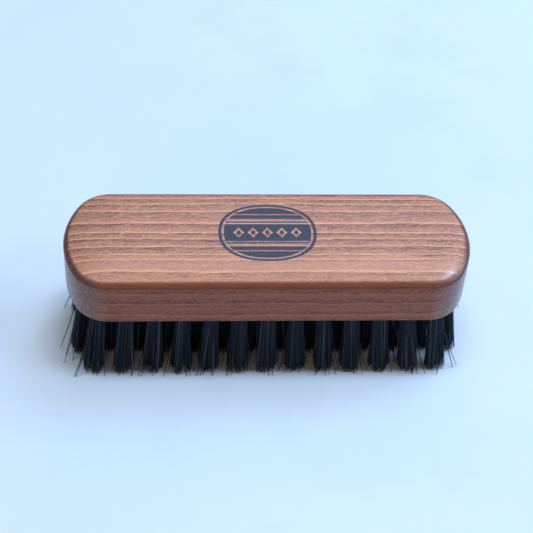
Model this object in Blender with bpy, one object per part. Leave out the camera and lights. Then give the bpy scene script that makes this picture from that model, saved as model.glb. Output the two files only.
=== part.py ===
"""Suede brush: a rounded wooden block with five staggered rows of bristle tufts.

Metres, +Z up. The origin lies on the table under the middle of the block, +X runs along
the block and -Y is the front. Each tuft is a bundle of bristles folded over a flat wire
anchor, driven into its own drilled hole and trimmed level with the others. The holes fan
out, so the tufts lean outwards along both sides and both ends.

Every tuft of the front, second, fourth and back rows is a piece of its own. Those of the
middle row share one thin slice of the block, let into its underside.
"""

import math
import random

import bmesh
import bpy
from mathutils import Matrix, Vector

# Block
BLOCK_LENGTH = 0.130
BLOCK_WIDTH = 0.042
BLOCK_HEIGHT = 0.0175
CORNER_RADIUS = 0.012
END_RADIUS_OVER_HALF_WIDTH = 0.009
TOP_EDGE_RADIUS = 0.0022
BOTTOM_EDGE_RADIUS = 0.0008
END_STEPS = 10
CORNER_STEPS = 8
TOP_EDGE_STEPS = 5
BOTTOM_EDGE_STEPS = 2

# Drilled holes, in rows that lie half a pitch apart
END_MARGIN = 0.0065
SIDE_MARGIN = 0.0045
HOLE_DIAMETER = 0.005
HOLE_DEPTH = 0.010
HOLE_SIDES = 12
ROW_NAMES = ("front_row", "second_row", "middle_row", "fourth_row", "back_row")
SLICE_ROW = "middle_row"
LONG_ROW_TUFTS = 14
FAN_AT_ENDS = math.radians(6.0)
FAN_AT_SIDES = math.radians(2.5)

# Bristle tufts, each drawn as a few thick strands
BRISTLE_LENGTH = 0.0255
STRANDS_PER_TUFT = 6
BUNDLE_PROUD = 0.0012
STRAND_GAP = 0.00018
TIP_RING_RADIUS = 0.0023
TIP_SIZE_SHARE = 0.55
TIP_SCATTER = 0.0003
TUFT_SCATTER = 0.00025
SCATTER_SEED = 7

# Flat wire anchor, on edge across the inside of each bundle's fold
ANCHOR_THICKNESS = 0.0005
ANCHOR_HEIGHT = 0.0016
FOLD_THICKNESS = 0.0009

# Slice of the block that carries the middle row
SLICE_THICKNESS = 0.002
SLICE_LAND = 0.0009
SLICE_END_STEPS = 8

# Gap kept between pieces that are pressed together, and how far the cutters overrun
CLEARANCE = 0.0003
OVERRUN = 0.001

UNDERSIDE = BRISTLE_LENGTH
TOP = UNDERSIDE + BLOCK_HEIGHT
HOLE_END = UNDERSIDE + HOLE_DEPTH
HALF_LENGTH = BLOCK_LENGTH / 2
HALF_WIDTH = BLOCK_WIDTH / 2
HOLE_RADIUS = HOLE_DIAMETER / 2
PITCH = (BLOCK_LENGTH - 2 * END_MARGIN) / (LONG_ROW_TUFTS - 1)
ROW_PITCH = (BLOCK_WIDTH - 2 * SIDE_MARGIN) / (len(ROW_NAMES) - 1)
LAST_X = PITCH * (LONG_ROW_TUFTS - 1) / 2
LAST_Y = ROW_PITCH * (len(ROW_NAMES) - 1) / 2
BUNDLE_RADIUS = HOLE_RADIUS * math.cos(math.pi / HOLE_SIDES) - CLEARANCE
BUNDLE_INNER_END = HOLE_END - CLEARANCE
BUNDLE_MOUTH = UNDERSIDE - BUNDLE_PROUD
ANCHOR_LENGTH = 2 * BUNDLE_RADIUS
ANCHOR_MIDDLE = BUNDLE_INNER_END - FOLD_THICKNESS - ANCHOR_HEIGHT / 2
SLICE_WIDTH = HOLE_DIAMETER + 2 * SLICE_LAND

# Colours, linear red, green and blue, and the order of the material slots on a tuft
WOOD_COLOUR = (0.26, 0.115, 0.062, 1.0)
BRISTLE_COLOUR = (0.008, 0.009, 0.012, 1.0)
ANCHOR_COLOUR = (0.55, 0.54, 0.52, 1.0)
BRISTLE_SLOT, ANCHOR_SLOT, SLICE_SLOT = range(3)


def clear_scene():
    for obj in list(bpy.data.objects):
        bpy.data.objects.remove(obj)


def make_material(name, colour, roughness, metallic=0.0):
    material = bpy.data.materials.new(name)
    material.use_nodes = True
    shader = material.node_tree.nodes["Principled BSDF"]
    shader.inputs["Base Color"].default_value = colour
    shader.inputs["Roughness"].default_value = roughness
    shader.inputs["Metallic"].default_value = metallic
    return material


def make_object(name, bm, materials, parent=None, slot=0):
    """The bmesh as an object, smooth between its sharp edges, with every face in one slot."""
    bmesh.ops.recalc_face_normals(bm, faces=bm.faces)
    for face in bm.faces:
        face.material_index = slot
    mesh = bpy.data.meshes.new(name)
    bm.to_mesh(mesh)
    bm.free()
    for material in materials:
        mesh.materials.append(material)
    mesh.shade_smooth()
    mesh.set_sharp_from_angle(angle=math.radians(40))
    obj = bpy.data.objects.new(name, mesh)
    obj.parent = parent
    bpy.context.scene.collection.objects.link(obj)
    return obj


def make_helper(name, bm, materials=(), slot=0):
    """An object that is only there to cut another one or to be joined to it."""
    obj = make_object(name, bm, materials, slot=slot)
    obj.hide_render = True
    obj.display_type = "WIRE"
    return obj


def add_boolean(obj, operation, helper):
    modifier = obj.modifiers.new(helper.name, "BOOLEAN")
    modifier.operation = operation
    modifier.object = helper


def arc(centre_x, centre_y, radius, start, end, steps):
    """Points along an arc, both ends included."""
    angles = [start + (end - start) * step / steps for step in range(steps + 1)]
    return [(centre_x + radius * math.cos(a), centre_y + radius * math.sin(a)) for a in angles]


def with_left_half(right):
    """The closed outline whose left half is the right half turned round."""
    return right + [(-x, -y) for x, y in right]


def block_outline():
    """The block from above: straight sides, bowed ends and a tighter arc at each corner."""
    end_radius = HALF_WIDTH + END_RADIUS_OVER_HALF_WIDTH
    end_centre = HALF_LENGTH - end_radius
    corner_y = HALF_WIDTH - CORNER_RADIUS
    reach = math.sqrt((end_radius - CORNER_RADIUS) ** 2 - corner_y ** 2)
    corner_x = end_centre + reach
    meeting = math.atan2(corner_y, reach)
    quarter = math.pi / 2
    lower = arc(corner_x, -corner_y, CORNER_RADIUS, -quarter, -meeting, CORNER_STEPS)
    end = arc(end_centre, 0, end_radius, -meeting, meeting, END_STEPS)
    upper = arc(corner_x, corner_y, CORNER_RADIUS, meeting, quarter, CORNER_STEPS)
    return with_left_half(lower + end[1:-1] + upper)


def bar_outline(length, width):
    """A bar from above, with half-round ends beyond its length."""
    quarter = math.pi / 2
    return with_left_half(arc(length / 2, 0, width / 2, -quarter, quarter, SLICE_END_STEPS))


def add_prism(bm, outline, bottom, top):
    """A closed upright prism on the outline. Returns its bottom and top faces."""
    low = [bm.verts.new((x, y, bottom)) for x, y in outline]
    high = [bm.verts.new((x, y, top)) for x, y in outline]
    for index in range(len(outline)):
        after = (index + 1) % len(outline)
        bm.faces.new((low[index], low[after], high[after], high[index]))
    return bm.faces.new(low[::-1]), bm.faces.new(high)


def round_edges(bm, face, radius, steps):
    edges = list(face.edges)
    bmesh.ops.bevel(bm, geom=edges, offset=radius, segments=steps, profile=0.5, affect="EDGES")


def tuft_places():
    """The (x, y) of each row's hole mouths: rows of 14 with rows of 13 between them."""
    places = {}
    for row, name in enumerate(ROW_NAMES):
        count = LONG_ROW_TUFTS - 1 + row % 2
        y = row * ROW_PITCH - LAST_Y
        places[name] = [((index - (count - 1) / 2) * PITCH, y) for index in range(count)]
    return places


def axis_point(place, height):
    """The point at this height on the leaning axis of the hole with its mouth here."""
    x, y = place
    below = UNDERSIDE - height
    lean_x = math.tan(FAN_AT_ENDS * x / LAST_X)
    lean_y = math.tan(FAN_AT_SIDES * y / LAST_Y)
    return Vector((x + below * lean_x, y + below * lean_y, height))


def polar(radius, angle):
    return Vector((radius * math.cos(angle), radius * math.sin(angle), 0))


def add_ring(bm, centre, radius, sides):
    turn = 2 * math.pi / sides
    return [bm.verts.new(centre + polar(radius, turn * side)) for side in range(sides)]


def join_rings(bm, low, high):
    for index in range(len(low)):
        after = (index + 1) % len(low)
        bm.faces.new((low[index], low[after], high[after], high[index]))


def add_hole_cutter(bm, place):
    low = add_ring(bm, axis_point(place, UNDERSIDE - OVERRUN), HOLE_RADIUS, HOLE_SIDES)
    high = add_ring(bm, axis_point(place, HOLE_END), HOLE_RADIUS, HOLE_SIDES)
    join_rings(bm, low, high)
    bm.faces.new(low[::-1])
    bm.faces.new(high)


def add_bundle(bm, place):
    """The gathered bristles in their hole. Returns the wedges of the end that stands out."""
    centre = axis_point(place, BUNDLE_MOUTH)
    mouth = add_ring(bm, centre, BUNDLE_RADIUS, STRANDS_PER_TUFT)
    inner = add_ring(bm, axis_point(place, BUNDLE_INNER_END), BUNDLE_RADIUS, STRANDS_PER_TUFT)
    join_rings(bm, mouth, inner)
    bm.faces.new(inner)
    middle = bm.verts.new(centre)
    return [bm.faces.new((mouth[i], mouth[i - 1], middle)) for i in range(STRANDS_PER_TUFT)]


def add_tuft(bm, place, dice):
    """A bundle, with each wedge of its mouth drawn out into a straight strand to the table."""
    wedges = add_bundle(bm, place)
    bm.normal_update()
    bmesh.ops.inset_individual(bm, faces=wedges, thickness=STRAND_GAP / 2)
    strands = bmesh.ops.extrude_discrete_faces(bm, faces=wedges)["faces"]
    shift = Vector((dice.uniform(-1, 1), dice.uniform(-1, 1), 0)) * TUFT_SCATTER
    for strand in strands:
        root = strand.calc_center_median()
        outwards = root - axis_point(place, root.z)
        angle = math.atan2(outwards.y, outwards.x)
        reach = TIP_RING_RADIUS + dice.uniform(-1, 1) * TIP_SCATTER
        tip = axis_point(place, 0) + shift + polar(reach, angle)
        for vert in strand.verts:
            vert.co = tip + (vert.co - root) * TIP_SIZE_SHARE


def add_anchor(bm, place):
    """The short flat wire that a bundle is folded over. Its ends stand out of the bundle."""
    size = Vector((ANCHOR_THICKNESS, ANCHOR_LENGTH, ANCHOR_HEIGHT))
    matrix = Matrix.LocRotScale(axis_point(place, ANCHOR_MIDDLE), None, size)
    bmesh.ops.create_cube(bm, size=1, matrix=matrix)


def build_block(places, wood, parent):
    bm = bmesh.new()
    bottom, top = add_prism(bm, block_outline(), UNDERSIDE, TOP)
    round_edges(bm, top, TOP_EDGE_RADIUS, TOP_EDGE_STEPS)
    round_edges(bm, bottom, BOTTOM_EDGE_RADIUS, BOTTOM_EDGE_STEPS)
    block = make_object("block", bm, [wood], parent)

    drill = bmesh.new()
    for row in places.values():
        for place in row:
            add_hole_cutter(drill, place)
    add_boolean(block, "DIFFERENCE", make_helper("hole_drill", drill))

    pocket = bmesh.new()
    outline = bar_outline(row_length(places[SLICE_ROW]), SLICE_WIDTH + 2 * CLEARANCE)
    add_prism(pocket, outline, UNDERSIDE - OVERRUN, UNDERSIDE + SLICE_THICKNESS + CLEARANCE)
    add_boolean(block, "DIFFERENCE", make_helper("slice_pocket", pocket))


def row_length(row):
    return row[-1][0] - row[0][0]


def build_tuft(name, place, materials, dice, parent):
    bm = bmesh.new()
    add_tuft(bm, place, dice)
    tuft = make_object(name, bm, materials, parent, BRISTLE_SLOT)
    anchor = bmesh.new()
    add_anchor(anchor, place)
    add_boolean(tuft, "UNION", make_helper(name + "_anchor", anchor, materials, ANCHOR_SLOT))


def build_slice_row(row, materials, dice, parent):
    """A row of tufts that all stand in one slice of the block's underside."""
    bm = bmesh.new()
    outline = bar_outline(row_length(row), SLICE_WIDTH)
    add_prism(bm, outline, UNDERSIDE, UNDERSIDE + SLICE_THICKNESS)
    carrier = make_object(SLICE_ROW, bm, materials, parent, SLICE_SLOT)
    tufts = bmesh.new()
    anchors = bmesh.new()
    for place in row:
        add_tuft(tufts, place, dice)
        add_anchor(anchors, place)
    add_boolean(carrier, "UNION", make_helper("slice_tufts", tufts, materials, BRISTLE_SLOT))
    add_boolean(carrier, "UNION", make_helper("slice_anchors", anchors, materials, ANCHOR_SLOT))


def main():
    clear_scene()
    wood = make_material("stained_wood", WOOD_COLOUR, 0.4)
    bristle = make_material("black_bristle", BRISTLE_COLOUR, 0.45)
    anchor = make_material("anchor_wire", ANCHOR_COLOUR, 0.35, 1.0)
    brush = bpy.data.objects.new("brush", None)
    bpy.context.scene.collection.objects.link(brush)

    places = tuft_places()
    dice = random.Random(SCATTER_SEED)
    build_block(places, wood, brush)
    for row_name, row in places.items():
        if row_name == SLICE_ROW:
            build_slice_row(row, [bristle, anchor, wood], dice, brush)
            continue
        for index, place in enumerate(row):
            name = f"{row_name}_tuft_{index + 1:02d}"
            build_tuft(name, place, [bristle, anchor], dice, brush)


main()
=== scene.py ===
"""Looks of a suede brush: a stained wooden block and five rows of tufted black bristles.

Metres, +Z up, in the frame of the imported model. Laid out as a Blender add-on and run as a
script: each operator makes one piece, or one group of like pieces, around that frame.
"""

import math

import bmesh
import bpy
from bpy.props import FloatProperty, FloatVectorProperty, IntProperty, PointerProperty
from mathutils import Matrix, Vector


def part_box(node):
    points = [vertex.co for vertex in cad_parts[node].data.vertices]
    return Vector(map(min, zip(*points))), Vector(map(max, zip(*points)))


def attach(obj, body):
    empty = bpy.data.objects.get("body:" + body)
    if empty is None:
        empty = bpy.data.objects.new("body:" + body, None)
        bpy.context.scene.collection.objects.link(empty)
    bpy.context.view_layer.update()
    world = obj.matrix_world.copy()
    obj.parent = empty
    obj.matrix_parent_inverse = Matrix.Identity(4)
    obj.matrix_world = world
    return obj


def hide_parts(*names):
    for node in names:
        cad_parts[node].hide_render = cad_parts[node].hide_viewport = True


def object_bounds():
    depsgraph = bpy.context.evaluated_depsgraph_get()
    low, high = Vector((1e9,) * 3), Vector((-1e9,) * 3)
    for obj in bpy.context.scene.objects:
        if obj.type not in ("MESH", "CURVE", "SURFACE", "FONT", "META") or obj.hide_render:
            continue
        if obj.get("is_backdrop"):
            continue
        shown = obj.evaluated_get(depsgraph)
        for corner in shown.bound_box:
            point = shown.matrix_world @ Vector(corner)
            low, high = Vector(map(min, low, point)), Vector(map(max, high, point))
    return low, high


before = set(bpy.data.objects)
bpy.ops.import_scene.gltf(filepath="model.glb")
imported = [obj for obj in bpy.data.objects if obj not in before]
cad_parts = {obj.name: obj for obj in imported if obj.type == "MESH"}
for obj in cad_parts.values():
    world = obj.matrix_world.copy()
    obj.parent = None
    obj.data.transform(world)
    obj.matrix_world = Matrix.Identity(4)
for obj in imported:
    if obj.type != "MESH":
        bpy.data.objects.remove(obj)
CAD_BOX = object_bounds()

bl_info = {
    "name": "Tufted Brush",
    "version": (1, 0, 0),
    "blender": (4, 5, 0),
    "location": "View3D > Sidebar > Brush",
    "description": "Makes a suede brush with a stained wooden block and drilled rows of bristles",
    "category": "Add Mesh",
}

MM = 0.001
BODY = "root"

# Rows of drilled holes, from the front to the back: 13, 14, 13, 14 and 13 tufts
ROW_NAMES = ("front_row", "second_row", "middle_row", "fourth_row", "back_row")
LONG_ROW_TUFTS = 14
MIDDLE_OF_ROWS = (len(ROW_NAMES) - 1) / 2

BLOCK_LOW, BLOCK_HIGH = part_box("block")
BLOCK_CENTRE = (BLOCK_LOW + BLOCK_HIGH) / 2
UNDERSIDE = BLOCK_LOW.z
TOP = BLOCK_HIGH.z
HALF_LENGTH = BLOCK_HIGH.x
HALF_WIDTH = BLOCK_HIGH.y

# Steps round the corners and the ends of the block, up its rounded edges and over its crown
CORNER_STEPS = 16
END_STEPS = 28
LOWER_EDGE_STEPS = 4
UPPER_EDGE_STEPS = 12
CROWN_STEPS = 8

# Edges of the block that turn by more than this are shaded as sharp
SHARP_ANGLE = math.radians(32)

# A drill's sides, and the share of the hole's depth at which it starts outside the block
DRILL_SIDES = 24
DRILL_OVERRUN_SHARE = 0.1

# A flat wire spans this share of its hole's width
WIRE_SPAN_SHARE = 0.9

# A strand's points: its root in the hole, the mouth of the hole, and the rest down to its tip
STRAND_POINTS = 6
STRAND_SIDES = 5
GOLDEN_ANGLE = math.radians(137.508)
LOCKS_PER_TUFT = 6

# Where a strand runs: its root as a share of the hole's depth, and its middle line's room at
# the hole's wall and the table as a share of its thickness
ROOT_DEPTH_SHARE = 0.87
ROOM_SHARE = 0.6

# Powers that pack the strands towards a tuft's rim, and that spread them and the strays below
PACKING_POWER = 0.42
SPREAD_POWER = 1.25
STRAY_POWER = 1.6

# How strongly a stray follows the lean of its tuft, along the block and across it
STRAY_LEAN_X = 8
STRAY_LEAN_Y = 30

# How much tufts and strands differ, as shares of the sizes that they change
TUFT_SPREAD_SHARE = 0.06
STRAND_SPREAD_SHARE = 0.14
THICKNESS_SPREAD_SHARE = 0.15
BOW_SHARE = 0.35

# A strand is thinner by this share at its tip, from this far down
TAPER_SHARE = 0.35
TAPER_START = 0.7

# The number of each random draw, which is added to its seed. The strides are what one more
# seed and one more row add.
DRAWS = {name: number for number, name in enumerate((
    "first turn", "shortness", "stray", "tuft spread", "strand spread", "stray reach",
    "curl x", "bow x", "curl y", "bow y", "lock x", "lock y", "shade", "thickness",
    "room at the ends", "room at the sides",
), start=1)}
SEED_STRIDE = 97
ROW_STRIDE = 13

# Growth rings run along X round a pith in front of and above the block, in millimetres.
# The lines are the places across the top, and beyond its edges, where a pale line shows.
PITH_Y = -60.0
PITH_Z = 90.0
GROWTH_LINES = (
    -27.0, -21.3, -15.7, -10.6, -8.4, -4.9, -1.4, 1.2,
    5.5, 11.3, 14.7, 17.4, 20.9, 24.3, 27.7, 32.1,
)

# Noise in the wood: its cells in a millimetre along the grain and across it, its detail and
# its roughness
WOOD_NOISE = {
    "long_wave": (0.020, 0.09, 2.0, 0.50),
    "short_wave": (0.11, 0.40, 3.0, 0.50),
    "fray": (0.55, 1.6, 2.0, 0.50),
    "patches": (0.05, 0.18, 2.0, 0.50),
    "fibre": (0.13, 1.9, 5.0, 0.70),
    "dashes": (0.28, 3.3, 3.0, 0.62),
    "fine": (0.8, 4.8, 2.0, 0.50),
    "line_strength": (0.12, 0.8, 2.0, 0.50),
    "specks": (0.5, 1.9, 3.0, 0.65),
    "blotches": (0.20, 1.1, 3.0, 0.50),
}

# How far each wave moves the growth lines, in millimetres
RING_WAVES = {"long_wave": 1.5, "short_wave": 0.75, "fray": 0.30}

# A smoother band of wood near the front: where it begins and ends, in millimetres of Y, and
# how far it wanders
SMOOTH_BAND_FRONT = (-21.0, -17.5)
SMOOTH_BAND_BACK = (-7.0, -11.0)
SMOOTH_BAND_WANDER = 8

# Millimetres below the top: where the edge's stain and painted shade and the ink begin and are
# full, and where the edge's painted shade turns darker
EDGE_STAIN_AND_SHADE_DEPTHS = (2.8, 2.1)
DARKER_SHADE_DEPTHS = (0.8, 1.8)
INK_DEPTHS = (1.0, 0.6)

# Printed plaque, in millimetres: its place on the top, the power of its oval, the blur and
# the ragged edge of its ink, and its border line. A stripe has its place and its half width.
PLAQUE_X = -0.2
PLAQUE_Y = 1.6
OVAL_POWER = 2.3
INK_BLUR = 0.10
INK_FRAY = 0.16
FRAYS_PER_MM = 1.7
BORDER_DEPTH = 1.15
BORDER_HALF = 0.28
BORDER_BLUR = 0.08
PATTERN_DEPTH = 1.5
STRIPES = ((4.1, 0.28), (5.6, 0.62), (8.2, 0.24))

# The plaque's row of lozenges. The line of each lies between the outer and the inner share of
# its half sizes.
LOZENGES = 5
LOZENGE_PITCH = 4.6
LOZENGE_HALF_LENGTH = 1.75
LOZENGE_HALF_WIDTH = 2.35
LOZENGE_OUTER_SHARE = 0.98
LOZENGE_INNER_SHARE = 0.50
LOZENGE_BLUR_SHARE = 0.05
LOZENGE_FRAY_SHARE = 0.4

# Photograph's camera: its distance from the middle of the block, and its turns in degrees
PHOTO_SIDE = 533
FOCAL_PIXELS = 1403.1
CAMERA_DISTANCE = 0.4531
CAMERA_HEIGHT_ANGLE = math.radians(45.28)
CAMERA_SIDE_ANGLE = math.radians(-5.134)
CAMERA_ROLL = math.radians(3.57)
CAMERA_SHIFT_PIXELS = (-0.64, -11.24)
SENSOR_WIDTH = 36.0
CLIP_START = 0.01

FLOOR_HALF_SIDE = 3.0

# Soft lights: the way from the block to each, its two sides in metres, its watts and its tint
LIGHT_DISTANCE = 1.8
SOFT_LIGHTS = {
    "overhead_light": ((0.02, 0.00, 1.0), (0.22, 0.90), 16.4, (0.77, 0.90, 1.0)),
    "slanted_light": ((0.18, 0.12, 1.0), (0.90, 0.90), 6.4, (0.96, 0.85, 0.96)),
    "side_light": ((1.4, 0.05, 0.97), (1.60, 0.80), 25.4, (0.53, 0.68, 1.0)),
    "glint_light": ((0.39, 0.465, 1.0), (0.34, 0.54), 6.3, (0.22, 0.60, 1.0)),
    "back_light": ((0.24, 1.00, 1.0), (0.90, 0.60), 3.2, (1.0, 0.68, 0.72)),
    "fill_light": ((-0.25, -1.0, 0.35), (0.90, 0.54), 5.2, (1.0, 0.76, 0.52)),
}


def length(name, description, default):
    return FloatProperty(name=name, description=description, default=default, unit="LENGTH",
                         subtype="DISTANCE", precision=5)


def angle(name, description, degrees):
    return FloatProperty(name=name, description=description, default=math.radians(degrees),
                         unit="ROTATION", subtype="ANGLE")


def share(name, description, default):
    return FloatProperty(name=name, description=description, default=default, min=0, max=1,
                         subtype="FACTOR")


def colour(name, description, default):
    return FloatVectorProperty(name=name, description=description, default=default, size=3,
                               min=0, max=1, subtype="COLOR")


class BlockSettings(bpy.types.PropertyGroup):
    corner_radius: length("Corner Radius", "Radius of the four upright corners", 0.012)
    end_bow: length("End Bow", "How far the end radius exceeds half the width", 0.009)
    top_edge: length("Top Edge", "Radius of the edge round the top", 0.0022)
    bottom_edge: length("Bottom Edge", "Radius of the edge round the underside", 0.0008)
    front_crown: length("Front Crown", "How far sanding has lowered the top's front edge", 0.0009)
    back_crown: length("Back Crown", "How far sanding has lowered the top's back edge", 0.0003)
    crown_width: length("Crown Width", "How far in from the edge the top falls away", 0.0085)


class HoleSettings(bpy.types.PropertyGroup):
    end_margin: length("End Margin", "From the block's end to the last hole", 0.0065)
    side_margin: length("Side Margin", "From the block's side to the outer rows", 0.0045)
    diameter: length("Diameter", "Diameter of a drilled hole", 0.005)
    depth: length("Depth", "Depth of a drilled hole", 0.010)
    fan_at_ends: angle("Fan at Ends", "Lean of the last tufts along the block", 6.0)
    fan_at_sides: angle("Fan at Sides", "Lean of the outer rows across the block", 2.5)
    wire_thickness: length("Wire Thickness", "Thickness of the flat wire in a hole", 0.0005)
    wire_height: length("Wire Height", "Height of the flat wire in a hole", 0.0016)
    fold: length("Fold", "From the hole's closed end to its wire", 0.0012)


class BristleSettings(bpy.types.PropertyGroup):
    strands: IntProperty(name="Strands", description="Bristles that show in one tuft",
                         default=150, min=1, max=400)
    thickness: length("Thickness", "Diameter of one bristle", 0.00030)
    tip_radius: length("Tip Radius", "Radius of a tuft at its tips", 0.0033)
    raggedness: length("Raggedness", "How far short of the table the bristles end", 0.0011)
    bend: length("Bend", "How far a tip wanders off a straight line", 0.0004)
    lock_shift: length("Lock Shift", "How far bristles move together in a lock", 0.0006)
    stray_share: share("Stray Share", "Share of bristles that stand out of their tuft", 0.045)
    stray_reach: length("Stray Reach", "How far a stray tip stands out", 0.0030)
    end_reach: length("End Reach", "How far the tips may pass the block's ends", 0.0037)
    side_reach: length("Side Reach", "How far the tips may pass the block's sides", 0.0012)
    seed: IntProperty(name="Seed", description="Seed of the scatter", default=4)
    colour: colour("Colour", "Colour of a dark bristle", (0.0012, 0.0018, 0.0030))
    # Paler strands: partly their own tone, partly painted highlight along the bristles
    pale_colour: colour("Pale Colour", "Colour of the palest bristles", (0.060, 0.078, 0.105))


class WoodSettings(bpy.types.PropertyGroup):
    mid_colour: colour("Mid Colour", "Stained wood between the growth lines", (0.44, 0.206, 0.137))
    dark_colour: colour("Dark Colour", "Dark wood beside each growth line", (0.153, 0.067, 0.060))
    line_colour: colour("Line Colour", "Pale growth lines", (0.83, 0.44, 0.25))
    # The pore colour is also the darkest painted shade low on the rounded front edge
    pore_and_edge_shade_colour: colour("Pore Colour", "Stain held in the pores", (0.105, 0.044, 0.042))
    # The rounded front edge's colour: partly stain, partly painted shade where it turns from the
    # top
    edge_stain_and_shade_colour: colour("Edge Colour", "Stain on the rounded front edge", (0.23, 0.056, 0.007))
    # Painted shade: the upright sides keep less of each colour, so they are darker than the top
    side_painted_shade: colour("Side Painted Shade", "How much of each colour the upright sides keep",
                       (0.63, 0.39, 0.23))
    crown_stain: colour("Crown Stain", "How much of each colour the sanded front edge keeps",
                        (1.0, 0.96, 0.84))
    grain_depth: length("Grain Depth", "How deep the grain looks", 0.00012)
    ink_colour: colour("Ink Colour", "Ink of the printed plaque", (0.022, 0.045, 0.080))
    plaque_length: length("Plaque Length", "Length of the printed plaque", 0.0315)
    plaque_width: length("Plaque Width", "Width of the printed plaque", 0.0255)


class StageSettings(bpy.types.PropertyGroup):
    floor_colour: colour("Floor Colour", "Colour of the plain floor", (0.68, 0.82, 0.95))
    floor_wear: share("Floor Wear", "Share of its colour that the floor keeps where worn", 0.965)
    sky_colour: colour("Sky Colour", "Colour of the light all round", (1.0, 0.82, 0.74))
    sky_strength: FloatProperty(name="Sky Strength", description="Strength of the light all round",
                                default=0.068, min=0)
    lamp_share: FloatProperty(name="Lamp Share", description="Share of the soft lights' full power",
                              default=1.0, min=0)


class Signal:
    """A node's socket that can stand in a sum. Each sum adds a Math or a Vector Math node."""

    def __init__(self, desk, socket):
        self.desk = desk
        self.socket = socket

    def __add__(self, other):
        return self.desk.combine("ADD", self, other)

    def __radd__(self, other):
        return self.desk.combine("ADD", other, self)

    def __sub__(self, other):
        return self.desk.combine("SUBTRACT", self, other)

    def __rsub__(self, other):
        return self.desk.combine("SUBTRACT", other, self)

    def __mul__(self, other):
        return self.desk.combine("MULTIPLY", self, other)

    def __rmul__(self, other):
        return self.desk.combine("MULTIPLY", self, other)

    def __truediv__(self, other):
        return self.desk.combine("DIVIDE", self, other)

    def __pow__(self, other):
        return self.desk.combine("POWER", self, other)

    def __neg__(self):
        return self.desk.combine("MULTIPLY", self, -1)

    def __abs__(self):
        return self.desk.combine("ABSOLUTE", self)


class Desk:
    """Adds nodes to a tree of either kind and links them."""

    def __init__(self, tree):
        self.tree = tree

    def feed(self, socket, value):
        if isinstance(value, Signal):
            self.tree.links.new(value.socket, socket)
        elif socket.type == "RGBA" and len(value) == 3:
            socket.default_value = (*value, 1)
        else:
            socket.default_value = value

    def add(self, kind, settings=None, sockets=None, output=None):
        """A new node: its settings first, then its sockets. Gives one output, if it has any."""
        node = self.tree.nodes.new(kind)
        for name, value in (settings or {}).items():
            if name == "points":
                set_points(node.mapping, value)
            else:
                setattr(node, name, value)
        for name, value in (sockets or {}).items():
            self.feed(pick(node.inputs, name), value)
        return Signal(self, pick(node.outputs, output)) if len(node.outputs) else None

    def combine(self, operation, *values):
        """A Math node, or a Vector Math node where any of the values is a vector."""
        vectors = [is_vector(value) for value in values]
        if operation == "MULTIPLY" and any(vectors) and not all(vectors):
            vector, number = values if vectors[0] else values[::-1]
            return self.add("ShaderNodeVectorMath", {"operation": "SCALE"},
                            {"Vector": vector, "Scale": number})
        kind = "ShaderNodeVectorMath" if any(vectors) else "ShaderNodeMath"
        return self.add(kind, {"operation": operation}, dict(enumerate(values)))

    def step(self, value, low, high, smooth=True):
        """0 below low and 1 above high. With low above high, it falls instead."""
        kind = "SMOOTHSTEP" if smooth else "LINEAR"
        ends = {"From Min": low, "From Max": high, "To Min": 0.0, "To Max": 1.0}
        if low > high:
            ends = {"From Min": high, "From Max": low, "To Min": 1.0, "To Max": 0.0}
        return self.add("ShaderNodeMapRange", {"interpolation_type": kind},
                        {"Value": value, **ends})

    def noise(self, place, detail=2.0, roughness=0.5):
        return self.add("ShaderNodeTexNoise", None, {
            "Vector": place, "Scale": 1.0, "Detail": detail, "Roughness": roughness})

    def mix(self, factor, first, second):
        return self.add("ShaderNodeMix", {"data_type": "RGBA"},
                        {"Factor": factor, "A": first, "B": second}, "Result")

    def split(self, vector):
        x = self.add("ShaderNodeSeparateXYZ", None, {"Vector": vector})
        return [Signal(self, socket) for socket in x.socket.node.outputs]

    def join(self, x, y, z):
        return self.add("ShaderNodeCombineXYZ", None, {"X": x, "Y": y, "Z": z})

    def place(self):
        """The shaded point on its own piece, in millimetres."""
        return self.add("ShaderNodeTexCoord", output="Object") * (1 / MM)


def is_vector(value):
    if isinstance(value, Signal):
        return value.socket.type in ("VECTOR", "RGBA")
    return isinstance(value, tuple)


def pick(sockets, name):
    """A socket by its number, or the first in use that has this name, or that has any."""
    if isinstance(name, int):
        return sockets[name]
    return next(socket for socket in sockets if socket.enabled and name in (None, socket.name))


def set_points(mapping, points):
    """Straight lines through the points, the first and the last at the ends of the curve."""
    curve = mapping.curves[0]
    curve.points[0].location = points[0]
    curve.points[-1].location = points[-1]
    for place in points[1:-1]:
        curve.points.new(*place)
    for point in curve.points:
        point.handle_type = "VECTOR"
    mapping.update()


def new_material(name):
    """An empty material's desk, with a function that closes it with one Principled shader."""
    material = bpy.data.materials.new(name)
    material.use_nodes = True
    material.node_tree.nodes.clear()
    desk = Desk(material.node_tree)

    def close(**sockets):
        plain = {name.replace("_", " "): value for name, value in sockets.items()}
        shader = desk.add("ShaderNodeBsdfPrincipled", None, plain)
        desk.add("ShaderNodeOutputMaterial", None, {"Surface": shader})
        return material

    return desk, close


def wood_noise(desk, place, name):
    """One of the wood's kinds of noise, drawn out along the grain."""
    along, across, detail, roughness = WOOD_NOISE[name]
    return desk.noise(place * (along, across, across), detail, roughness)


def growth_rings(desk, place):
    """How far a point lies from one pale growth line to the next, and which ring it is in."""
    across = place * (0.0, 1.0, 1.0) - (0.0, PITH_Y, PITH_Z)
    radius = desk.add("ShaderNodeVectorMath", {"operation": "LENGTH"}, {0: across}, "Value")
    for name, size in RING_WAVES.items():
        radius = radius + (wood_noise(desk, place, name) - 0.5) * size
    radii = [math.hypot(line - PITH_Y, TOP / MM - PITH_Z) for line in GROWTH_LINES]
    first, last = radii[0], radii[-1]
    rings = len(radii) - 1
    points = [((line - first) / (last - first), index / rings) for index, line in enumerate(radii)]
    count = desk.add("ShaderNodeFloatCurve", {"points": points},
                     {"Value": (radius - first) / (last - first)}) * rings
    ring = desk.combine("FLOOR", count)
    return count - ring, ring


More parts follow.
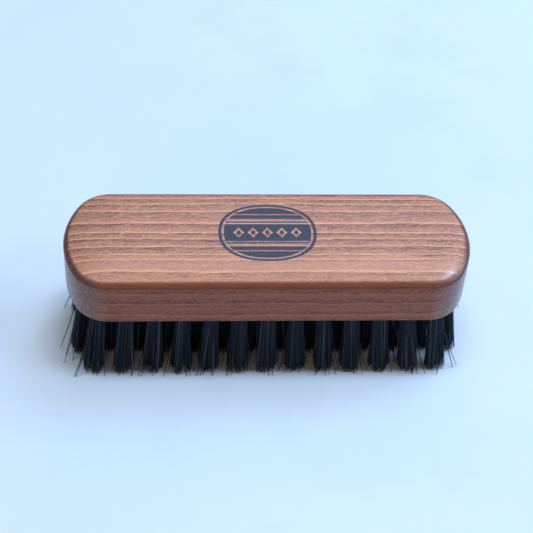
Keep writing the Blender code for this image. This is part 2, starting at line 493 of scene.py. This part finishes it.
def wood_grain(desk, place, y, side, look):
    """The wood's colour before its stains, with masks of its fibre, growth lines and pores."""
    between, ring = growth_rings(desk, place)
    ring_dice = desk.add("ShaderNodeTexWhiteNoise", {"noise_dimensions": "1D"}, {"W": ring + 0.5})
    patches, fibre, dashes, fine, line_strength = (
        wood_noise(desk, place, name)
        for name in ("patches", "fibre", "dashes", "fine", "line_strength"))
    in_band = y + (patches - 0.5) * SMOOTH_BAND_WANDER
    smooth_band = desk.step(in_band, *SMOOTH_BAND_FRONT) * desk.step(in_band, *SMOOTH_BAND_BACK)
    # Every second growth line is faint on the upright sides
    faint = side * (1 - desk.combine("PINGPONG", ring + between, 1.0))

    dark = desk.step(between, 0.25, 0.97) * (0.48 + ring_dice * 0.5) - smooth_band * 0.45
    dark = dark + (patches - 0.5) * 0.8 + (fibre - 0.5) * 3.6
    dark = dark - faint * desk.step(between, 0.5, 0.9) * 0.35
    line = desk.step(between, 0.22, 0.04) + desk.step(between, 0.965, 1.0)
    line = line * (0.15 + line_strength * 1.2) + smooth_band * 0.22
    line = line * (1 - faint * 0.75)
    pores = desk.step(dashes, 0.52, 0.62) * (0.5 + between * 0.5) * (1 - smooth_band * 0.6)

    tone = desk.mix(desk.step(dark, 0.0, 1.0, False), look.mid_colour, look.dark_colour)
    tone = desk.mix(desk.combine("MINIMUM", line, 1.0) * 0.85, tone, look.line_colour)
    tone = desk.mix(pores * 0.6, tone, look.pore_and_edge_shade_colour)
    tone = desk.mix(desk.step(fine, 0.48, 0.70) * 0.6, tone, look.line_colour)
    return tone, fibre, line, pores


def plaque_mask(desk, x, y, look):
    """Where the ink lies: an oval plaque with a border line, stripes and a row of lozenges."""
    half_x = look.plaque_length / MM / 2
    half_y = look.plaque_width / MM / 2
    fray = (desk.noise(desk.join(x, y, 0.0) * FRAYS_PER_MM) - 0.5) * INK_FRAY

    def within(value, limit, blur=INK_BLUR):
        return desk.step(value, limit + blur, limit - blur)

    def beyond(value, limit):
        return desk.step(value, limit - INK_BLUR, limit + INK_BLUR)

    oval = (abs(x / half_x) ** OVAL_POWER + abs(y / half_y) ** OVAL_POWER) ** (1 / OVAL_POWER)
    depth = (1 - oval) * half_y + fray
    nearest = x - desk.combine("ROUND", x / LOZENGE_PITCH) * LOZENGE_PITCH
    lozenge = abs(nearest) / LOZENGE_HALF_LENGTH + abs(y) / LOZENGE_HALF_WIDTH
    lozenge = lozenge + fray * LOZENGE_FRAY_SHARE
    pattern = within(lozenge, LOZENGE_OUTER_SHARE, LOZENGE_BLUR_SHARE)
    pattern = pattern - within(lozenge, LOZENGE_INNER_SHARE, LOZENGE_BLUR_SHARE)
    pattern = pattern * within(abs(x), LOZENGES * LOZENGE_PITCH / 2)
    for middle, half in STRIPES:
        pattern = pattern + within(abs(abs(y) - middle) + fray, half)
    border = within(abs(depth - BORDER_DEPTH), BORDER_HALF, BORDER_BLUR)
    bare = border + beyond(depth, PATTERN_DEPTH) * pattern
    return beyond(depth, 0.0) * (1 - desk.combine("MINIMUM", bare, 1.0))


def make_wood(look):
    """Stained, lightly sealed wood. The grain is solid: it runs along X through the block."""
    desk, close = new_material("stained_wood")
    place = desk.place()
    x, y, z = desk.split(place)
    depth = TOP / MM - z
    normal_x, normal_y, normal_z = desk.split(desk.add("ShaderNodeTexCoord", output="Normal"))
    # The normal tells the upright sides, the ends and the sanded front of the top apart
    side = desk.step(normal_z, 0.985, 0.80)
    end_grain = desk.step(abs(normal_x), 0.08, 0.55)
    front_crown = desk.step(normal_y, -0.05, -0.13) * desk.step(abs(normal_x), 0.10, 0.03)

    tone, fibre, line, pores = wood_grain(desk, place, y, side, look)
    # Painted shade: the upright sides are darker in colour than the top
    tone = tone * desk.mix(side, (1.0, 1.0, 1.0), look.side_painted_shade)
    tone = tone * desk.mix(front_crown, (1.0, 1.0, 1.0), look.crown_stain)

    # The ends take more stain in specks. The rounded front edge is darkest of all, and darker lower
    # down: partly stain, partly painted shade
    specks = wood_noise(desk, place, "specks")
    dots = desk.step(specks, 0.40, 0.60) * 0.65 + 0.32
    turned = normal_z + (fibre - 0.5) * 0.09 + (specks - 0.5) * 0.22
    edge = desk.step(turned, 0.982, 0.92) * desk.step(depth, *EDGE_STAIN_AND_SHADE_DEPTHS)
    rim = edge * desk.step(normal_y, -0.15, -0.6)
    # Darker lower down the edge: painted shade. The fibre, blotches and end grain are stain
    darker = desk.step(fibre, 0.42, 0.60) * 0.4
    darker = darker + desk.step(wood_noise(desk, place, "blotches"), 0.48, 0.66) * 0.5
    darker = darker + desk.step(depth, *DARKER_SHADE_DEPTHS) * 0.3 + end_grain * dots * 0.8
    tone = desk.mix(end_grain * (dots + edge * 0.25), tone, look.pore_and_edge_shade_colour)
    tone = desk.mix(rim * 0.85, tone, desk.mix(darker, look.edge_stain_and_shade_colour, look.pore_and_edge_shade_colour))

    ink = plaque_mask(desk, x - PLAQUE_X, y - PLAQUE_Y, look) * desk.step(depth, *INK_DEPTHS)
    worn = 1 - desk.step(desk.noise(place * (2.2, 2.2, 1.0), 3.0), 0.60, 0.72) * 0.35
    tone = desk.mix(ink * worn, tone, look.ink_colour)

    height = fibre * 0.5 + line * 0.22 - pores * 0.45
    bump = desk.add("ShaderNodeBump", None, {
        "Strength": 0.4, "Distance": look.grain_depth, "Height": height})
    rough = 0.30 + (fibre - 0.5) * 0.25 + pores * 0.10 + ink * 0.4 + rim * 0.45
    rough = rough + end_grain * (dots - 0.15) * 0.4 + front_crown * 0.2
    polish = desk.step(abs(normal_x), 0.03, 0.10) * 0.4 - front_crown * 0.5 + 0.6
    coat = desk.step(normal_z, 0.965, 0.985) * polish - ink * 0.4 + end_grain * 0.5
    return close(Base_Color=tone, Roughness=rough, Normal=bump, Coat_Weight=coat,
                 Coat_Roughness=0.14)


def make_bristle(look):
    """Dark bristle. Every strand has a shade of its own, and a few are paler: partly their own
    tone, partly painted highlight.
    """
    desk, close = new_material("black_bristle")
    shade = desk.add("ShaderNodeAttribute", {"attribute_name": "shade"}, output="Fac")
    streak = desk.noise(desk.place() * (3.0, 3.0, 0.25))
    # A few strands are paler all along: partly painted highlight
    pale = desk.step(shade, 0.84, 0.97) + desk.step(shade, 0.2, 0.7) * 0.05 + (streak - 0.5) * 0.1
    tone = desk.mix(desk.step(pale, 0.0, 1.0, False), look.colour, look.pale_colour)
    rough = 0.5 + (streak - 0.5) * 0.2
    return close(Base_Color=tone, Roughness=rough, Specular_IOR_Level=0.35,
                 Specular_Tint=(0.60, 0.80, 1.0, 1.0))


def make_wire():
    """Bare flat wire, with streaks along it from drawing."""
    desk, close = new_material("anchor_wire")
    drawn = desk.noise(desk.place() * (9.0, 0.8, 9.0))
    return close(Base_Color=(0.55, 0.54, 0.52), Metallic=1.0, Roughness=0.25 + drawn * 0.25)


def make_floor_finish(look):
    """A plain pale floor with a faint cloud of wear."""
    desk, close = new_material("pale_floor")
    cloud = desk.noise(desk.place() * 0.02, 4.0, 0.6)
    worn = tuple(look.floor_wear * part for part in look.floor_colour)
    tone = desk.mix(desk.step(cloud, 0.42, 0.66), look.floor_colour, worn)
    return close(Base_Color=tone, Roughness=0.75)


def link(obj):
    bpy.context.scene.collection.objects.link(obj)
    return obj


def new_tree(name, inputs):
    """A Geometry Nodes tree with these named inputs. Gives its desk, its inputs and a closer."""
    tree = bpy.data.node_groups.new(name, "GeometryNodeTree")
    kinds = {"geometry": "NodeSocketGeometry", "material": "NodeSocketMaterial",
             "whole": "NodeSocketInt", "length": "NodeSocketFloat", "number": "NodeSocketFloat"}
    for title, kind in inputs.items():
        socket = tree.interface.new_socket(title, in_out="INPUT", socket_type=kinds[kind])
        if kind == "length":
            socket.subtype = "DISTANCE"
    tree.interface.new_socket("Geometry", in_out="OUTPUT", socket_type="NodeSocketGeometry")
    desk = Desk(tree)
    source = tree.nodes.new("NodeGroupInput")
    given = {title: Signal(desk, source.outputs[title]) for title in inputs}

    def close(geometry):
        real = desk.add("GeometryNodeRealizeInstances", None, {"Geometry": geometry})
        done = desk.add("GeometryNodeSetMaterial", None,
                        {"Geometry": real, "Material": given["Material"]})
        desk.add("NodeGroupOutput", None, {"Geometry": done})
        return tree

    return desk, given, close


def bake_nodes(obj, tree, values):
    """Runs the tree on the object with these values by name, and keeps the plain mesh."""
    modifier = obj.modifiers.new(tree.name, "NODES")
    modifier.node_group = tree
    for item in tree.interface.items_tree:
        if item.in_out == "INPUT" and item.name in values:
            modifier[item.identifier] = values[item.name]
    depsgraph = bpy.context.evaluated_depsgraph_get()
    mesh = bpy.data.meshes.new_from_object(obj.evaluated_get(depsgraph), depsgraph=depsgraph)
    mesh.name = obj.name
    obj.modifiers.remove(modifier)
    while mesh.materials[0] is None:
        mesh.materials.pop(index=0)
    obj.data = mesh


def pitches(holes):
    """The spacing of the holes along a row, and of the rows."""
    along = (2 * HALF_LENGTH - 2 * holes.end_margin) / (LONG_ROW_TUFTS - 1)
    across = (2 * HALF_WIDTH - 2 * holes.side_margin) / (len(ROW_NAMES) - 1)
    return along, across


HOLE_INPUTS = {
    "Pitch": "length", "Row Pitch": "length", "Underside": "length",
    "Hole Radius": "length", "Hole Depth": "length",
    "Fan at Ends": "number", "Fan at Sides": "number", "Material": "material",
}


def hole_values(holes, material):
    along, across = pitches(holes)
    return {
        "Pitch": along, "Row Pitch": across, "Underside": UNDERSIDE,
        "Hole Radius": holes.diameter / 2, "Hole Depth": holes.depth,
        "Fan at Ends": holes.fan_at_ends, "Fan at Sides": holes.fan_at_sides,
        "Material": material,
    }


def hole_place(desk, given, row, index):
    """The x and y of a hole's mouth, its axis's outward lean in x and y, and its row's count."""
    odd = row - desk.combine("FLOOR", row / 2) * 2
    count = LONG_ROW_TUFTS - 1 + odd
    x = (index - (count - 1) / 2) * given["Pitch"]
    y = (row - MIDDLE_OF_ROWS) * given["Row Pitch"]
    last_x = given["Pitch"] * ((LONG_ROW_TUFTS - 1) / 2)
    last_y = given["Row Pitch"] * MIDDLE_OF_ROWS
    lean_x = desk.combine("TANGENT", given["Fan at Ends"] * x / last_x)
    lean_y = desk.combine("TANGENT", given["Fan at Sides"] * y / last_y)
    return x, y, lean_x, lean_y, count


def at_each_hole(desk, given, height, thing):
    """Copies of a thing, one at this height on each hole's axis and turned with the axis."""
    number = desk.add("GeometryNodeInputIndex")
    row = desk.combine("FLOOR", number / LONG_ROW_TUFTS)
    index = number - row * LONG_ROW_TUFTS
    x, y, lean_x, lean_y, count = hole_place(desk, given, row, index)
    below = given["Underside"] - height
    place = desk.join(x + below * lean_x, y + below * lean_y, height)
    points = desk.add("GeometryNodePoints", None, {
        "Count": LONG_ROW_TUFTS * len(ROW_NAMES), "Position": place})
    axis = desk.join(-lean_x, -lean_y, 1.0)
    turn = desk.add("FunctionNodeAlignRotationToVector", {"axis": "Z"}, {"Vector": axis})
    in_row = desk.combine("LESS_THAN", index, count - 0.5)
    return desk.add("GeometryNodeInstanceOnPoints", None, {
        "Points": points, "Selection": in_row, "Instance": thing, "Rotation": turn})


def drilled_tree():
    """Drills every hole of the underside into the block."""
    desk, given, close = new_tree("drilled_holes", {"Geometry": "geometry", **HOLE_INPUTS})
    overrun = given["Hole Depth"] * DRILL_OVERRUN_SHARE
    middle = given["Underside"] + (given["Hole Depth"] - overrun) / 2
    drill = desk.add("GeometryNodeMeshCylinder", None, {
        "Vertices": DRILL_SIDES, "Radius": given["Hole Radius"],
        "Depth": given["Hole Depth"] + overrun})
    drills = desk.add("GeometryNodeRealizeInstances", None, {
        "Geometry": at_each_hole(desk, given, middle, drill)})
    cut = desk.add("GeometryNodeMeshBoolean", {"operation": "DIFFERENCE", "solver": "EXACT"},
                   {0: given["Geometry"], 1: drills})
    return close(cut)


def anchor_tree():
    """The short flat wires, one across the fold of each tuft."""
    desk, given, close = new_tree("wire_anchors", {
        **HOLE_INPUTS, "Wire Thickness": "length", "Wire Height": "length", "Fold": "length"})
    reach = given["Hole Depth"] - given["Fold"] - given["Wire Height"] / 2
    span = given["Hole Radius"] * (2 * WIRE_SPAN_SHARE)
    wire = desk.add("GeometryNodeMeshCube", None, {
        "Size": desk.join(given["Wire Thickness"], span, given["Wire Height"])})
    return close(at_each_hole(desk, given, given["Underside"] + reach, wire))


def bristle_tree():
    """One row of tufts. Each strand is a thin tube from inside its hole to the table."""
    desk, given, close = new_tree("bristle_row", {
        **HOLE_INPUTS, "Row": "whole", "Strands": "whole", "Thickness": "length",
        "Tip Radius": "length", "Raggedness": "length", "Bend": "length",
        "Lock Shift": "length", "Stray Share": "number", "Stray Reach": "length",
        "Reach X": "length", "Reach Y": "length", "Seed": "whole"})
    number = desk.add("GeometryNodeInputIndex")
    strand = desk.combine("FLOOR", number / STRAND_POINTS)
    step = number - strand * STRAND_POINTS
    tuft = desk.combine("FLOOR", strand / given["Strands"])
    in_tuft = strand - tuft * given["Strands"]
    x, y, lean_x, lean_y, count = hole_place(desk, given, given["Row"], tuft)
    seed = given["Seed"] * SEED_STRIDE + given["Row"] * ROW_STRIDE

    def dice(who, use, low=-1.0, high=1.0):
        """A random number that stays the same for one strand, lock or tuft."""
        return desk.add("FunctionNodeRandomValue", {"data_type": "FLOAT"}, {
            "Min": low, "Max": high, "ID": who, "Seed": seed + DRAWS[use]})

    spin = in_tuft * GOLDEN_ANGLE + dice(tuft, "first turn", 0.0, 2 * math.pi)
    share_out = ((in_tuft + 0.5) / given["Strands"]) ** PACKING_POWER
    out_x = desk.combine("COSINE", spin)
    out_y = desk.combine("SINE", spin)
    lock = desk.combine("FLOOR", spin / (2 * math.pi / LOCKS_PER_TUFT))
    lock = lock - desk.combine("FLOOR", lock / LOCKS_PER_TUFT) * LOCKS_PER_TUFT
    lock = lock + tuft * LOCKS_PER_TUFT

    down = desk.combine("MAXIMUM", step - 1, 0.0) / (STRAND_POINTS - 2)
    in_hole = 1 - desk.combine("MINIMUM", step, 1.0)
    short = dice(strand, "shortness", 0.0, 1.0)
    stray = desk.combine("LESS_THAN", dice(strand, "stray", 0.0, 1.0), given["Stray Share"])
    room = given["Thickness"] * ROOM_SHARE
    end_height = room + given["Raggedness"] * short * short * (1 - stray)
    drop = (given["Underside"] - end_height) * down
    drop = drop - given["Hole Depth"] * ROOT_DEPTH_SHARE * in_hole

    root = given["Hole Radius"] - room
    tuft_spread = dice(tuft, "tuft spread") * TUFT_SPREAD_SHARE
    strand_spread = dice(strand, "strand spread") * STRAND_SPREAD_SHARE
    tip = given["Tip Radius"] * (1 + tuft_spread + strand_spread)
    reach = stray * given["Stray Reach"] * dice(strand, "stray reach", 0.2, 1.0)
    curl_x, curl_y = (given["Bend"] * dice(strand, use) for use in ("curl x", "curl y"))
    bow_x, bow_y = (given["Bend"] * dice(strand, use) * BOW_SHARE for use in ("bow x", "bow y"))
    lock_x, lock_y = (given["Lock Shift"] * dice(lock, use) for use in ("lock x", "lock y"))

    def strand_place(down, drop):
        """Where a strand is across, this far down from the mouth of its hole."""
        spread = (root + (tip - root) * down ** SPREAD_POWER) * share_out
        astray = reach * down ** STRAY_POWER
        bow = desk.combine("SINE", down * math.pi)
        away_x = curl_x * (down * down) + bow_x * bow + lock_x * down
        away_y = curl_y * (down * down) + bow_y * bow + lock_y * down
        stray_x = astray * (out_x + lean_x * STRAY_LEAN_X)
        stray_y = astray * (out_y + lean_y * STRAY_LEAN_Y)
        return (x + drop * lean_x + spread * out_x + stray_x + away_x,
                y + drop * lean_y + spread * out_y + stray_y + away_y)

    def excess(value, limit):
        low = desk.combine("MAXIMUM", value, -limit)
        return value - desk.combine("MINIMUM", low, limit)

    tip_x, tip_y = strand_place(1.0, given["Underside"] - end_height)
    end_room = given["Bend"] * dice(strand, "room at the ends", 0.0, 2.5)
    side_room = given["Bend"] * dice(strand, "room at the sides", 0.0, 1.0)
    over_x = excess(tip_x, given["Reach X"] - end_room)
    over_y = excess(tip_y, given["Reach Y"] - side_room)
    now_x, now_y = strand_place(down, drop)
    place = desk.join(now_x - over_x * down * down, now_y - over_y * down * down,
                      given["Underside"] - drop)
    points = desk.add("GeometryNodePoints", None, {
        "Count": count * given["Strands"] * STRAND_POINTS, "Position": place})
    points = desk.add("GeometryNodeStoreNamedAttribute", {"data_type": "FLOAT", "domain": "POINT"},
                      {"Geometry": points, "Name": "shade",
                       "Value": dice(strand, "shade", 0.0, 1.0)})
    taper = 1 - desk.step(down, TAPER_START, 1.0) * TAPER_SHARE
    swell = 1 + dice(strand, "thickness") * THICKNESS_SPREAD_SHARE
    curves = desk.add("GeometryNodePointsToCurves", None, {
        "Points": points, "Curve Group ID": strand, "Weight": step})
    section = desk.add("GeometryNodeCurvePrimitiveCircle", {"mode": "RADIUS"}, {
        "Resolution": STRAND_SIDES, "Radius": 1.0})
    tubes = desk.add("GeometryNodeCurveToMesh", None, {
        "Curve": curves, "Profile Curve": section, "Scale": given["Thickness"] / 2 * taper * swell,
        "Fill Caps": True})
    tubes = desk.add("GeometryNodeSetShadeSmooth", None, {"Geometry": tubes})
    return close(tubes)


def arc(centre, radius, start, end, steps):
    """Points on an arc from one angle to another, with both of its ends."""
    turns = [start + (end - start) * step / steps for step in range(steps + 1)]
    return [(centre[0] + radius * math.cos(t), centre[1] + radius * math.sin(t)) for t in turns]


def block_outline(block, inset):
    """The block from above, drawn this far inside its widest line."""
    end_radius = HALF_WIDTH + block.end_bow
    end_centre = HALF_LENGTH - end_radius
    corner_y = HALF_WIDTH - block.corner_radius
    reach = math.sqrt((end_radius - block.corner_radius) ** 2 - corner_y ** 2)
    meeting = math.atan2(corner_y, reach)
    quarter = math.pi / 2
    corner = end_centre + reach
    small = block.corner_radius - inset
    lower = arc((corner, -corner_y), small, -quarter, -meeting, CORNER_STEPS)
    end = arc((end_centre, 0), end_radius - inset, -meeting, meeting, END_STEPS)
    upper = arc((corner, corner_y), small, meeting, quarter, CORNER_STEPS)
    right = lower + end[1:-1] + upper
    return right + [(-x, -y) for x, y in right]


def block_sections(block):
    """The inset, height and share of the crown's fall of each outline, from the underside up."""
    low, high = block.bottom_edge, block.top_edge
    quarter = math.pi / 2
    sections = arc((low, UNDERSIDE + low), low, -quarter, -math.pi, LOWER_EDGE_STEPS)
    sections += arc((high, TOP - high), high, math.pi, quarter, UPPER_EDGE_STEPS)
    for step in range(1, CROWN_STEPS + 1):
        sections.append((high + (block.crown_width - high) * step / CROWN_STEPS, TOP))

    def fall_share(inset, height):
        """The fall grows up the rounded edge and fades out over the crown's width."""
        upper = max(0.0, (height - (TOP - high)) / high)
        return upper * max(0.0, 1 - inset / block.crown_width) ** 2

    return [(inset, height, fall_share(inset, height)) for inset, height in sections]


def make_block_mesh(block):
    """The block before drilling, with its crown sanded lower at the front than at the back."""
    bm = bmesh.new()
    rings = []
    for inset, height, fall in block_sections(block):
        ring = []
        for x, y in block_outline(block, inset):
            towards_front = (1 - math.sin(math.pi / 2 * y / HALF_WIDTH)) / 2
            crown = block.back_crown + (block.front_crown - block.back_crown) * towards_front
            ring.append(bm.verts.new((x, y, height - crown * fall)))
        rings.append(ring)
    for low, high in zip(rings, rings[1:]):
        for index in range(len(low)):
            after = (index + 1) % len(low)
            bm.faces.new((low[index], low[after], high[after], high[index]))
    bm.faces.new(rings[0][::-1])
    bm.faces.new(rings[-1])
    bmesh.ops.recalc_face_normals(bm, faces=bm.faces)
    mesh = bpy.data.meshes.new("wood_block")
    bm.to_mesh(mesh)
    bm.free()
    return mesh


class TUFTED_OT_wood_block(bpy.types.Operator):
    """Make the stained wooden block, with its rounded edges and drilled underside"""

    bl_idname = "tufted_brush.wood_block"
    bl_label = "Make Wood Block"

    def execute(self, context):
        scene = context.scene
        obj = link(bpy.data.objects.new("wood_block", make_block_mesh(scene.brush_block)))
        wood = make_wood(scene.brush_wood)
        bake_nodes(obj, drilled_tree(), hole_values(scene.brush_holes, wood))
        obj.data.shade_smooth()
        obj.data.set_sharp_from_angle(angle=SHARP_ANGLE)
        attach(obj, BODY)
        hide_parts("block")
        return {"FINISHED"}


class TUFTED_OT_bristle_rows(bpy.types.Operator):
    """Make the five rows of bristle tufts, one piece for each row"""

    bl_idname = "tufted_brush.bristle_rows"
    bl_label = "Make Bristle Rows"

    def execute(self, context):
        scene = context.scene
        look = scene.brush_bristles
        tree = bristle_tree()
        values = hole_values(scene.brush_holes, make_bristle(look))
        half = look.thickness / 2
        values.update({
            "Strands": look.strands, "Thickness": look.thickness, "Tip Radius": look.tip_radius,
            "Raggedness": look.raggedness, "Bend": look.bend, "Lock Shift": look.lock_shift,
            "Stray Share": look.stray_share, "Stray Reach": look.stray_reach,
            "Reach X": HALF_LENGTH + look.end_reach - half,
            "Reach Y": HALF_WIDTH + look.side_reach - half, "Seed": look.seed})
        for row, name in enumerate(ROW_NAMES):
            mesh = bpy.data.meshes.new(name + "_bristles")
            obj = link(bpy.data.objects.new(name + "_bristles", mesh))
            bake_nodes(obj, tree, {**values, "Row": row})
            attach(obj, BODY)
            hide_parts(*[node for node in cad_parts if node.startswith(name)])
        return {"FINISHED"}


class TUFTED_OT_wire_anchors(bpy.types.Operator):
    """Make the flat wires that hold the tufts in their holes"""

    bl_idname = "tufted_brush.wire_anchors"
    bl_label = "Make Wire Anchors"

    def execute(self, context):
        holes = context.scene.brush_holes
        values = hole_values(holes, make_wire())
        values.update({"Wire Thickness": holes.wire_thickness, "Wire Height": holes.wire_height,
                       "Fold": holes.fold})
        obj = link(bpy.data.objects.new("wire_anchors", bpy.data.meshes.new("wire_anchors")))
        bake_nodes(obj, anchor_tree(), values)
        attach(obj, BODY)
        return {"FINISHED"}


def add_area_light(name, way, size, power, tint):
    """A soft light this way from the middle of the block, aimed at it and out of the picture."""
    lamp = bpy.data.lights.new(name, "AREA")
    lamp.shape = "RECTANGLE"
    lamp.size, lamp.size_y = size
    lamp.energy = power
    lamp.color = tint
    offset = Vector(way).normalized() * LIGHT_DISTANCE
    obj = link(bpy.data.objects.new(name, lamp))
    obj.location = BLOCK_CENTRE + offset
    obj.rotation_euler = (-offset).to_track_quat("-Z", "Y").to_euler()
    obj.visible_camera = False


def add_camera():
    """The photograph's view: off to one side, looking down, and turned a little in its plane."""
    side, height, roll = CAMERA_SIDE_ANGLE, CAMERA_HEIGHT_ANGLE, CAMERA_ROLL
    back = Vector((math.sin(side) * math.cos(height), -math.cos(side) * math.cos(height),
                   math.sin(height)))
    right = Vector((math.cos(side), math.sin(side), 0))
    up = back.cross(right)
    level = right * math.cos(roll) + up * math.sin(roll)
    upright = up * math.cos(roll) - right * math.sin(roll)
    data = bpy.data.cameras.new("photo_camera")
    data.sensor_width = SENSOR_WIDTH
    data.lens = SENSOR_WIDTH * FOCAL_PIXELS / PHOTO_SIDE
    data.shift_x, data.shift_y = (pixels / PHOTO_SIDE for pixels in CAMERA_SHIFT_PIXELS)
    data.clip_start = CLIP_START
    camera = link(bpy.data.objects.new("photo_camera", data))
    turn = Matrix((level, upright, back)).transposed()
    camera.matrix_world = Matrix.LocRotScale(BLOCK_CENTRE + back * CAMERA_DISTANCE, turn, None)
    bpy.context.scene.camera = camera


class TUFTED_OT_stage(bpy.types.Operator):
    """Make the plain floor, the soft lights and the camera"""

    bl_idname = "tufted_brush.stage"
    bl_label = "Make Stage"

    def execute(self, context):
        scene = context.scene
        look = scene.brush_stage
        bm = bmesh.new()
        bmesh.ops.create_grid(bm, x_segments=1, y_segments=1, size=FLOOR_HALF_SIDE)
        mesh = bpy.data.meshes.new("floor")
        bm.to_mesh(mesh)
        bm.free()
        mesh.materials.append(make_floor_finish(look))
        floor = link(bpy.data.objects.new("floor", mesh))
        floor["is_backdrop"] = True

        world = bpy.data.worlds.new("studio")
        world.use_nodes = True
        background = world.node_tree.nodes["Background"]
        background.inputs["Color"].default_value = (*look.sky_colour, 1)
        background.inputs["Strength"].default_value = look.sky_strength
        scene.world = world
        for name, (way, size, power, tint) in SOFT_LIGHTS.items():
            add_area_light(name, way, size, power * look.lamp_share, tint)
        scene.view_settings.view_transform = "Standard"
        add_camera()
        return {"FINISHED"}


class TUFTED_PT_panel(bpy.types.Panel):
    bl_label = "Tufted Brush"
    bl_idname = "TUFTED_PT_panel"
    bl_space_type = "VIEW_3D"
    bl_region_type = "UI"
    bl_category = "Brush"

    def draw(self, context):
        for operator in OPERATORS:
            self.layout.operator(operator.bl_idname)
        for name in SETTINGS:
            group = getattr(context.scene, name)
            box = self.layout.box()
            for key in type(group).__annotations__:
                box.prop(group, key)


SETTINGS = {
    "brush_block": BlockSettings, "brush_holes": HoleSettings,
    "brush_bristles": BristleSettings, "brush_wood": WoodSettings, "brush_stage": StageSettings,
}
OPERATORS = (TUFTED_OT_stage, TUFTED_OT_wood_block, TUFTED_OT_bristle_rows, TUFTED_OT_wire_anchors)


def register():
    for kind in (*SETTINGS.values(), *OPERATORS, TUFTED_PT_panel):
        bpy.utils.register_class(kind)
    for name, kind in SETTINGS.items():
        setattr(bpy.types.Scene, name, PointerProperty(type=kind))


def unregister():
    for name in SETTINGS:
        delattr(bpy.types.Scene, name)
    for kind in (TUFTED_PT_panel, *OPERATORS, *SETTINGS.values()):
        bpy.utils.unregister_class(kind)


def main():
    register()
    bpy.ops.tufted_brush.stage()
    bpy.ops.tufted_brush.wood_block()
    bpy.ops.tufted_brush.bristle_rows()
    bpy.ops.tufted_brush.wire_anchors()
    boxes = {"cad": CAD_BOX, "visual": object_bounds()}
    {name: [list(corner) for corner in box] for name, box in boxes.items()}


if __name__ == "__main__":
    main()
